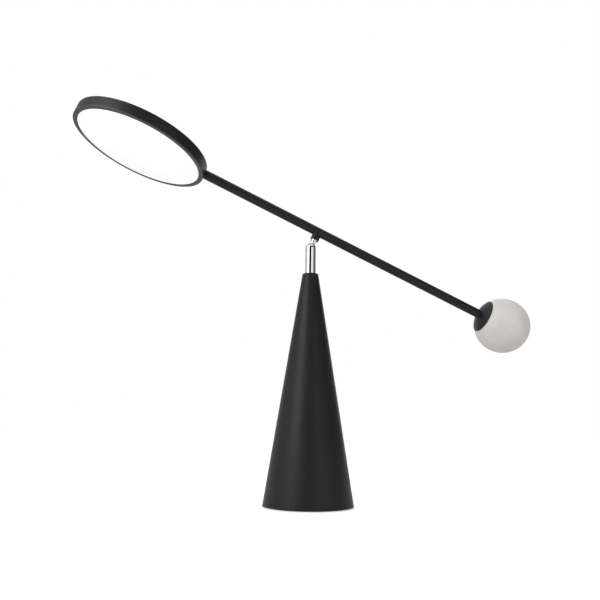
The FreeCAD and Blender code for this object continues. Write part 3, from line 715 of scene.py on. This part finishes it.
def turned_brass(name):
    """Nickelled brass with the rings of the lathe tool."""
    brass = settings("lamp_finish").brass
    material, tree, surface = blank_material(name)
    tree.links.new(two_tone(tree, brass, shade(brass, 0.9), 80.0, 2000.0, 0.4),
                   surface.inputs["Base Color"])
    polished(tree, surface, 0.18, 0.30, 150.0)
    surface.inputs["Metallic"].default_value = 1.0
    bumped(tree, surface, placed_group(tree, "lathe_rings", Pitch=0.00025)["Height"], 0.000004)
    return material


def plain_skin(name, tone, low, high, relief, metallic=0.0):
    """A moulded, cast or plated finish round one colour of the settings."""
    rgb = getattr(settings("lamp_finish"), tone)
    return skin(name, (rgb, shade(rgb, 0.86), 30.0, 1200.0, 0.5), (low, high, 60.0),
                (800.0, 2200.0, 0.5, relief), metallic=metallic)


# How light each coat is beside the lamp's own, by slot
COATS = {"cone_coat": 1.0, "arm_coat": 1.0, "head_coat": 1.0, "plate_coat": 1.2}

# Colour, least and most roughness, relief in metres and metallic share, by slot
PLAIN_SKINS = {
    "bezel_plastic": ("bezel", 0.40, 0.47, 0.000012),
    "reflector_white": ("white", 0.55, 0.65, 0.00001),
    "board_white": ("white", 0.35, 0.45, 0.000006),
    "led_phosphor": ("phosphor", 0.15, 0.25, 0.000004),
    "zinc_steel": ("plating", 0.26, 0.42, 0.00001, 1.0),
    "ballast_iron": ("iron", 0.70, 0.85, 0.00025),
    "foot_rubber": ("rubber", 0.72, 0.86, 0.00005),
    "grommet_rubber": ("rubber", 0.55, 0.68, 0.00002),
    "washer_nylon": ("nylon", 0.40, 0.50, 0.000008),
    "driver_case": ("white", 0.45, 0.55, 0.00002),
}

OWN_FINISHES = {"opal_plastic": lit_opal, "chrome": chrome_plate, "honed_stone": honed_stone,
                "turned_brass": turned_brass}


def finish_for(slot):
    """The one material of a slot, made on first use."""
    name = "lamp_" + slot
    if name in bpy.data.materials:
        return bpy.data.materials[name]
    if slot in COATS:
        return powder_coat(name, COATS[slot])
    if slot in PLAIN_SKINS:
        return plain_skin(name, *PLAIN_SKINS[slot])
    return OWN_FINISHES[slot](name)


# ---- Operators -------------------------------------------------------------------
class LAMP_OT_cad_finishes(bpy.types.Operator):
    """Give every node of the packed model the finish of its slot"""

    bl_idname = "lamp.cad_finishes"
    bl_label = "Finish the Packed Nodes"

    def execute(self, context):
        for node, packed in frame["nodes"].items():
            packed.data.materials.clear()
            packed.data.materials.append(finish_for(NODE_SLOT[node]))
        return {"FINISHED"}


def cone_blank(sizes, outlet_hole):
    """The cone's shell with its bush seat and its outlet hole."""
    slope = cone_slope()
    across = sizes.wall * math.hypot(1.0, slope)
    ceiling = sizes.height - sizes.top_plate
    seat = sizes.height - sizes.bush_seat_depth
    ceiling_radius = sizes.radius - (ceiling - sizes.edge_height) * slope - across
    outline = [(sizes.radius - across, sizes.edge_height), (sizes.radius, sizes.edge_height),
               (sizes.top_radius, sizes.height), (sizes.bush_seat, sizes.height),
               (sizes.bush_seat, seat), (sizes.bush_hole, seat), (sizes.bush_hole, ceiling),
               (ceiling_radius, ceiling)]
    shell = turned(outline, sizes.steps, [(1, sizes.hem_round, 3), (2, sizes.top_round, 5)])
    hole = rod(outlet_hole, -sizes.outlet_flange, sizes.outlet_flange, BORE_STEPS,
               outlet_place())
    return combine(shell, [hole])


class LAMP_OT_foot(bpy.types.Operator):
    """Make the cone, its cord outlet and its foot pad"""

    bl_idname = "lamp.foot"
    bl_label = "Cone Foot"

    def execute(self, context):
        sizes = settings("lamp_foot")
        fit("cone_shell", cone_blank(sizes, sizes.outlet_hole + SEAT_GAP), "base", "base_cone")
        inward = -sizes.outlet_inside
        outline = [(sizes.outlet_bore, inward), (sizes.outlet_flange, inward),
                   (sizes.outlet_flange, sizes.outlet_proud),
                   (sizes.outlet_bore, sizes.outlet_proud)]
        grommet = turned(outline, 72, [(2, sizes.outlet_round, 4), (3, sizes.outlet_lip, 4),
                                       (0, FINE_EDGE, 2)])
        bmesh.ops.transform(grommet, matrix=outlet_place(), verts=grommet.verts)
        grommet = combine(grommet, [cone_blank(sizes, sizes.outlet_hole)])
        fit("outlet_grommet", grommet, "base", "cord_outlet")
        pad = turned([(0, 0), (sizes.pad_radius, 0), (sizes.pad_radius, sizes.pad_height),
                      (0, sizes.pad_height)], sizes.steps,
                     [(1, sizes.pad_round, 3), (2, FINE_EDGE, 2)], closed=False)
        fit("table_pad", pad, "base", "foot_pad")
        return {"FINISHED"}


def pocket_tools(sizes):
    """The two solids that hollow the post for the eye and the neck."""
    pivot = Matrix.Translation(JOINT_AT["arm_tilt"])
    seat = rod(sizes.pocket, -sizes.pocket_half, sizes.pocket_half, RING_STEPS,
               pivot @ crossways())
    reach = 2 * sizes.radius
    side, rise = reach * math.sin(sizes.fan), reach * math.cos(sizes.fan)
    fan = bmesh.new()
    corners = draw(fan, (0, 0), (side, rise), (side, reach), (-side, reach), (-side, rise))
    face = fan.faces.new(corners)
    swept = bmesh.ops.extrude_face_region(fan, geom=[face])
    moved = [item for item in swept["geom"] if isinstance(item, bmesh.types.BMVert)]
    bmesh.ops.translate(fan, verts=moved, vec=(0, 2 * sizes.pocket_half, 0))
    bmesh.ops.translate(fan, verts=fan.verts, vec=(0, -sizes.pocket_half, 0))
    bmesh.ops.transform(fan, matrix=pivot, verts=fan.verts)
    return [seat, tidy(fan)]


class LAMP_OT_post(bpy.types.Operator):
    """Make the chrome post with its stem, pocket and stop groove"""

    bl_idname = "lamp.post"
    bl_label = "Chrome Post"

    def execute(self, context):
        sizes = settings("lamp_post")
        pivot = JOINT_AT["arm_tilt"]
        low = sizes.groove_top - sizes.groove_width
        outline = [(0, sizes.stem_foot), (sizes.stem, sizes.stem_foot), (sizes.stem, low),
                   (sizes.groove, low), (sizes.groove, sizes.groove_top),
                   (sizes.stem, sizes.groove_top), (sizes.stem, sizes.foot),
                   (sizes.radius, sizes.foot), (sizes.radius, pivot.z),
                   ((0, pivot.z), math.pi / 2, 32)]
        post = turned(outline, sizes.steps, [(7, sizes.edge, 4)], closed=False)
        wire = rod(sizes.wire_bore, sizes.stem_foot - OVERRUN, pivot.z, BORE_STEPS)
        pin = rod(sizes.pin, -2 * sizes.radius, sizes.radius - sizes.pin_wall, BORE_STEPS,
                  Matrix.Translation(pivot) @ crossways())
        stop = turned([(sizes.stop_circle - sizes.stop_half, sizes.foot - OVERRUN),
                       (sizes.stop_circle + sizes.stop_half, sizes.foot - OVERRUN),
                       (sizes.stop_circle + sizes.stop_half, sizes.stop_top),
                       (sizes.stop_circle - sizes.stop_half, sizes.stop_top)],
                      RING_STEPS, turn=2 * sizes.stop_angle)
        bmesh.ops.rotate(stop, verts=stop.verts, cent=(0, 0, 0),
                         matrix=Matrix.Rotation(-sizes.stop_angle, 3, "Z"))
        fit("chrome_post", combine(post, [wire, *pocket_tools(sizes), pin, stop]), "post",
            "swivel_post")
        return {"FINISHED"}


class LAMP_OT_neck(bpy.types.Operator):
    """Make the eye, waisted neck and stud that tilt on the pin"""

    bl_idname = "lamp.neck"
    bl_label = "Tilting Neck"

    def execute(self, context):
        sizes = settings("lamp_post")
        arm = settings("lamp_arm")
        lug_bottom = arm.offset - arm.radius - arm.lug_length
        stud_top = lug_bottom + sizes.stud_length
        taper = (sizes.neck_top - sizes.neck_foot) / (lug_bottom - sizes.radius)
        foot = sizes.neck_foot - (sizes.radius - sizes.pin) * taper
        neck = turned([(0, sizes.pin), (foot, sizes.pin), (sizes.neck_top, lug_bottom),
                       (sizes.stud, lug_bottom), (sizes.stud, stud_top), (0, stud_top)],
                      RING_STEPS, [(2, FINE_EDGE, 3)], closed=False)
        wide = 2 * sizes.radius
        flats = [slab((-wide, side[0], -wide), (wide, side[1], sizes.shoulder))
                 for side in ((-wide, -sizes.eye_half), (sizes.eye_half, wide))]
        eye = rod(sizes.eye, -sizes.eye_half, sizes.eye_half, RING_STEPS, crossways())
        tongue = combine(combine(neck, flats), [eye], "UNION")
        half = sizes.lead_groove_half
        groove = turned([(sizes.lead_groove, -half), (sizes.eye + OVERRUN, -half),
                         (sizes.eye + OVERRUN, half), (sizes.lead_groove, half)], RING_STEPS)
        bmesh.ops.transform(groove, matrix=crossways(), verts=groove.verts)
        pin = rod(sizes.pin + TURN_GAP, -wide, wide, BORE_STEPS, crossways())
        lead = rod(sizes.lead_bore, sizes.lead_groove, stud_top + OVERRUN, 48)
        fit("chrome_neck", combine(tongue, [pin, groove, lead]), "arm", "tilt_tongue",
            neck_place())
        return {"FINISHED"}


class LAMP_OT_arm(bpy.types.Operator):
    """Make the arm tube and the lug brazed under it"""

    bl_idname = "lamp.arm"
    bl_label = "Arm"

    def execute(self, context):
        sizes = settings("lamp_arm")
        head = settings("lamp_head")
        span = sizes.ball_end + head.reach
        tube = turned([(sizes.bore, -head.reach), (sizes.radius, -head.reach),
                       (sizes.radius, sizes.ball_end), (sizes.bore, sizes.ball_end)], sizes.steps)
        bmesh.ops.transform(tube, matrix=lengthways(), verts=tube.verts)
        from_head = tube_place().inverted() @ head_place()
        disc = rod(head.radius, -span, span, 384, from_head)
        hole = rod(sizes.lead_hole, -2 * sizes.radius, 0, BORE_STEPS)
        fit("arm_tube_coated", combine(tube, [disc, hole]), "arm", "arm_tube", tube_place())
        bottom = -sizes.radius - sizes.lug_length
        lug = turned([(sizes.lug_bore, bottom), (sizes.lug_radius, bottom),
                      (sizes.lug_radius, 0), (sizes.lug_bore, 0)], RING_STEPS,
                     [(1, sizes.lug_edge, 3), (0, FINE_EDGE, 2)])
        core = rod(sizes.radius, -4 * sizes.radius, 4 * sizes.radius, sizes.steps, lengthways())
        fit("arm_lug_coated", combine(lug, [core]), "arm", "arm_lug", tube_place())
        return {"FINISHED"}


class LAMP_OT_head(bpy.types.Operator):
    """Make the head's pan, its bezel with sprung tabs and the opal disc"""

    bl_idname = "lamp.head"
    bl_label = "Lamp Head"

    def execute(self, context):
        self.pan()
        self.bezel()
        self.diffuser()
        return {"FINISHED"}

    def pan(self):
        """The side wall and the flat back in one, grooved for the tabs."""
        sizes = settings("lamp_head")
        bore = sizes.radius - sizes.wall
        floor = sizes.back - sizes.back_thickness
        rim = sizes.bezel - sizes.front
        tip = rim + sizes.tab_tip
        hook = sizes.tab_hook
        clear = sizes.face_gap
        deep = bore + hook
        low, high = tip - sizes.tab_hook_height - clear, tip + clear
        outline = [(0, floor), (bore, floor), (bore, high), (deep, high - hook),
                   (deep, low + hook), (bore, low), (bore, rim), (sizes.radius, rim),
                   (sizes.radius, sizes.back), (0, sizes.back)]
        pan = turned(outline, sizes.steps, [(1, sizes.pan_fillet, 4), (8, sizes.back_round, 8)],
                     closed=False)
        fit("head_dish", pan, "arm", "head_pan", head_place())

    def bezel(self):
        """The flat ring with its tabs."""
        sizes = settings("lamp_head")
        front, back = -sizes.front, sizes.bezel - sizes.front
        ring = turned([(sizes.face, front), (sizes.radius, front), (sizes.radius, back),
                       (sizes.face, back)], sizes.steps,
                      [(0, sizes.bezel_lip, 3), (1, sizes.bezel_round, 5)])
        inner = sizes.tab_radius - sizes.tab
        tip = back + sizes.tab_tip
        foot = tip - sizes.tab_hook_height
        outer = sizes.tab_radius + sizes.tab_hook
        root = (front + back) / 2
        tabs = []
        for number in range(sizes.tabs):
            tab = turned([(inner, root), (sizes.tab_radius, root), (sizes.tab_radius, foot),
                          (outer, foot + sizes.tab_hook), (sizes.tab_radius, tip), (inner, tip)],
                         12, turn=sizes.tab_angle)
            first = (number + 0.5) * FULL_TURN / sizes.tabs - sizes.tab_angle / 2
            bmesh.ops.rotate(tab, verts=tab.verts, cent=(0, 0, 0),
                             matrix=Matrix.Rotation(first, 3, "Z"))
            tabs.append(tab)
        fit("snap_bezel", combine(ring, tabs, "UNION"), "arm", "front_bezel", head_place())

    def diffuser(self):
        """The stepped opal disc."""
        sizes = settings("lamp_head")
        front, step = -sizes.front, sizes.bezel - sizes.front
        lit = sizes.face - sizes.face_gap
        back = front + sizes.diffuser
        disc = turned([(0, front), (lit, front), (lit, step), (sizes.flange, step),
                       (sizes.flange, back), (0, back)], sizes.steps, [(1, sizes.face_round, 3)],
                      closed=False)
        fit("opal_disc", disc, "arm", "diffuser", head_place())


class LAMP_OT_weight(bpy.types.Operator):
    """Make the stone ball and the cup that holds it"""

    bl_idname = "lamp.weight"
    bl_label = "Counterweight"

    def execute(self, context):
        sizes = settings("lamp_weight")
        ball = turned([(0, -sizes.radius), ((0, 0), math.pi, 96)], sizes.steps, closed=False)
        hole = rod(sizes.hole, sizes.radius - sizes.hole_depth, sizes.radius + OVERRUN,
                   BORE_STEPS)
        fit("honed_ball", combine(ball, [hole]), "arm", "stone_ball", ball_place())
        fit("ball_cup_coated", self.cup(sizes), "arm", "ball_cup", ball_place())
        return {"FINISHED"}

    def cup(self, sizes):
        """A spherical cap with a rounded lip and a seat for the tube."""
        seat = settings("lamp_arm").radius + SEAT_GAP
        inner = sizes.radius + sizes.cup_gap
        outer = inner + sizes.cup_wall
        floor = outer - sizes.cup_seat
        rim = math.acos(sizes.cup_rim / inner)
        top_in = math.acos(sizes.stud_hole / inner)
        top_out = math.acos(seat / outer)
        middle = inner + sizes.cup_wall / 2
        lip = (middle * math.cos(rim), middle * math.sin(rim))
        start = (inner * math.cos(top_in), inner * math.sin(top_in))
        outline = [start, ((0, 0), rim - top_in, 28), (lip, math.pi, 10),
                   ((0, 0), top_out - rim, 28), (seat, floor), (sizes.stud_hole, floor)]
        return turned(outline, sizes.steps)


STUDIO_MIDDLE = (0.0, 0.0, 0.26)
KEY_BOX = ((-0.93, -0.85, 0.58), (0.84, 0.95))  # place and size, left of the camera
TOP_BOX = ((0.0, 0.05, 1.35), (1.0, 0.8))       # the same, overhead
FLOOR_RADIUS = 14.0
FLOOR_DROP = 0.0003     # under the pad, so that the two don't share a plane
CARD_RADIUS = 1.5       # from the lamp to the cards
CARD_HEIGHTS = (-0.2, 0.85, 2.0)  # foot of the lower cards, their top, top of the upper ones
CARD_STEPS = 12

# Name, first and last angle from the camera's side, 0 lower or 1 upper row, and level
CARDS = (
    ("far_left_card", -150.0, -90.0, 0, "far_left_card"),
    ("left_card_high", -150.0, -72.0, 1, "far_left_card"),
    ("left_card", -90.0, -58.0, 0, "left_card"),
    ("key_card", -58.0, -32.0, 0, "key_card"),
    ("key_card_high", -72.0, -29.0, 1, "key_card"),
    ("black_card", -32.0, 15.0, 0, "black_card"),
    ("black_card_high", -29.0, 15.0, 1, "black_card"),
    ("white_card", 15.0, 53.0, 0, "white_card"),
    ("dark_card_high", 15.0, 140.0, 1, "high_card"),
    ("grey_card", 53.0, 78.0, 0, "grey_card"),
    ("dark_card", 78.0, 140.0, 0, "dark_card"),
)


def soft_box(name, place, size, power):
    """An area light that faces the lamp. Reflections see the cards in its place."""
    data = bpy.data.lights.new(name, "AREA")
    data.shape = "RECTANGLE"
    data.size, data.size_y = size
    data.energy = power
    lamp = bpy.data.objects.new(name, data)
    bpy.context.scene.collection.objects.link(lamp)
    lamp.location = place
    lamp.rotation_mode = "QUATERNION"
    lamp.rotation_quaternion = (Vector(STUDIO_MIDDLE) - Vector(place)).to_track_quat("-Z", "Y")
    lamp.visible_camera = False
    lamp.visible_glossy = False


def background_share(tree):
    """1 for what the camera, metal and glass see of the background, 0 for its light."""
    path = add(tree, "ShaderNodeLightPath").outputs
    shown = sums(tree, "MAXIMUM", path["Is Camera Ray"], path["Is Glossy Ray"])
    return sums(tree, "MAXIMUM", shown, path["Is Transmission Ray"])


class LAMP_OT_studio(bpy.types.Operator):
    """Make the floor, the world, the lights and the camera"""

    bl_idname = "lamp.studio"
    bl_label = "Studio"

    def execute(self, context):
        levels = settings("lamp_studio")
        self.world(context, levels)
        self.floor(levels)
        self.cards(levels)
        soft_box("key_box", *KEY_BOX, levels.key)
        soft_box("top_box", *TOP_BOX, levels.top)
        self.camera(context, levels)
        context.scene.view_settings.view_transform = "Standard"
        return {"FINISHED"}

    def world(self, context, levels):
        """White where it is seen, and an even light elsewhere."""
        world = bpy.data.worlds.new("studio")
        world.use_nodes = True
        tree = world.node_tree
        tree.nodes.clear()
        strength = ranged(tree, background_share(tree), levels.world, levels.backdrop)
        back = add(tree, "ShaderNodeBackground", [("Color", WHITE), ("Strength", strength)])
        put_out(tree, back.outputs[0], "ShaderNodeOutputWorld")
        context.scene.world = world

    def floor(self, levels):
        """A pale floor that keeps the lamp's shadow and can be looked through from below."""
        bm = bmesh.new()
        bmesh.ops.create_circle(bm, cap_ends=True, segments=RING_STEPS, radius=FLOOR_RADIUS)
        bmesh.ops.translate(bm, verts=bm.verts, vec=(0, 0, -FLOOR_DROP))
        floor = new_object("studio_floor", bm)
        material, tree = bare_material("studio_floor")
        place = add(tree, "ShaderNodeTexCoord").outputs["Object"]
        cloud = add(tree, "ShaderNodeTexNoise", [("Vector", place), ("Scale", 3.0)])
        tone = mixed(tree, cloud.outputs["Fac"], (0.78, 0.78, 0.78, 1.0), (0.80, 0.80, 0.80, 1.0))
        card = add(tree, "ShaderNodeBsdfDiffuse", [("Color", tone)])
        path = add(tree, "ShaderNodeLightPath").outputs
        shown = sums(tree, "MULTIPLY", path["Is Camera Ray"], levels.floor_lift)
        lift = sums(tree, "MAXIMUM", shown, sums(tree, "MULTIPLY", background_share(tree),
                                                 levels.floor_gloss))
        glow = add(tree, "ShaderNodeEmission", [("Color", WHITE), ("Strength", lift)])
        seen = add(tree, "ShaderNodeAddShader", [(0, card.outputs[0]), (1, glow.outputs[0])])
        clear = tree.nodes.new("ShaderNodeBsdfTransparent")
        below = add(tree, "ShaderNodeNewGeometry").outputs["Backfacing"]
        sides = add(tree, "ShaderNodeMixShader", [(0, below), (1, seen.outputs[0]),
                                                  (2, clear.outputs[0])])
        put_out(tree, sides.outputs[0])
        floor.data.materials.append(material)

    def cards(self, levels):
        """Upright curved cards round the lamp, seen only in its reflections."""
        front = math.atan2(levels.camera_at[1], levels.camera_at[0])
        for name, first, last, row, level_name in CARDS:
            tone = getattr(levels, level_name)
            bm = bmesh.new()
            ends = [bm.verts.new((CARD_RADIUS, 0, height)) for height in CARD_HEIGHTS[row:row + 2]]
            edge = bm.edges.new(ends)
            bmesh.ops.spin(bm, geom=[*ends, edge], cent=(0, 0, 0), axis=AXIS_Z, steps=CARD_STEPS,
                           angle=math.radians(last - first), use_merge=False)
            bmesh.ops.rotate(bm, verts=bm.verts, cent=(0, 0, 0),
                             matrix=Matrix.Rotation(front + math.radians(first), 3, "Z"))
            card = new_object(name, bm)
            material, tree = bare_material(name)
            place = add(tree, "ShaderNodeTexCoord").outputs["Object"]
            cloud = add(tree, "ShaderNodeTexNoise", [("Vector", place), ("Scale", 2.0)])
            light = ranged(tree, cloud.outputs["Fac"], tone * 0.9, tone * 1.1)
            glow = add(tree, "ShaderNodeEmission", [("Strength", light)])
            put_out(tree, glow.outputs[0])
            card.data.materials.append(material)
            card.visible_camera = False
            card.visible_diffuse = False
            card.visible_shadow = False
            card.visible_transmission = False

    def camera(self, context, levels):
        """The camera of the photograph."""
        data = bpy.data.cameras.new("camera")
        data.sensor_width = 36.0
        data.lens = levels.lens
        data.clip_start, data.clip_end = 0.01, 50.0
        camera = bpy.data.objects.new("camera", data)
        context.scene.collection.objects.link(camera)
        camera.matrix_world = (Matrix.Translation(levels.camera_at)
                               @ Matrix.Rotation(levels.heading, 4, "Z")
                               @ Matrix.Rotation(math.pi / 2 + levels.pitch, 4, "X")
                               @ Matrix.Rotation(levels.roll, 4, "Z"))
        context.scene.camera = camera


STEPS = (LAMP_OT_cad_finishes, LAMP_OT_foot, LAMP_OT_post, LAMP_OT_neck, LAMP_OT_arm,
         LAMP_OT_head, LAMP_OT_weight, LAMP_OT_studio)


class LAMP_PT_panel(bpy.types.Panel):
    """The lamp's steps and settings in the sidebar"""

    bl_idname = "LAMP_PT_panel"
    bl_label = "Balance Desk Lamp"
    bl_space_type = "VIEW_3D"
    bl_region_type = "UI"
    bl_category = "Lamp"

    def draw(self, context):
        for step in STEPS:
            self.layout.operator(step.bl_idname)
        for name, kind in SETTINGS.items():
            box = self.layout.box()
            box.label(text=kind.__doc__)
            for setting in kind.__annotations__:
                box.prop(getattr(context.scene, name), setting)


CLASSES = (*SETTINGS.values(), *STEPS, LAMP_PT_panel)


def register():
    """Add the classes and their settings."""
    for kind in CLASSES:
        bpy.utils.register_class(kind)
    for name, kind in SETTINGS.items():
        setattr(bpy.types.Scene, name, PointerProperty(type=kind))


def unregister():
    """Take the settings and the classes away again."""
    for name in SETTINGS:
        delattr(bpy.types.Scene, name)
    for kind in reversed(CLASSES):
        bpy.utils.unregister_class(kind)


def main():
    """Build the lamp and the studio."""
    register()
    bpy.ops.lamp.cad_finishes()
    bpy.ops.lamp.foot()
    bpy.ops.lamp.post()
    bpy.ops.lamp.neck()
    bpy.ops.lamp.arm()
    bpy.ops.lamp.head()
    bpy.ops.lamp.weight()
    bpy.ops.lamp.studio()


if __name__ == "__main__":
    main()
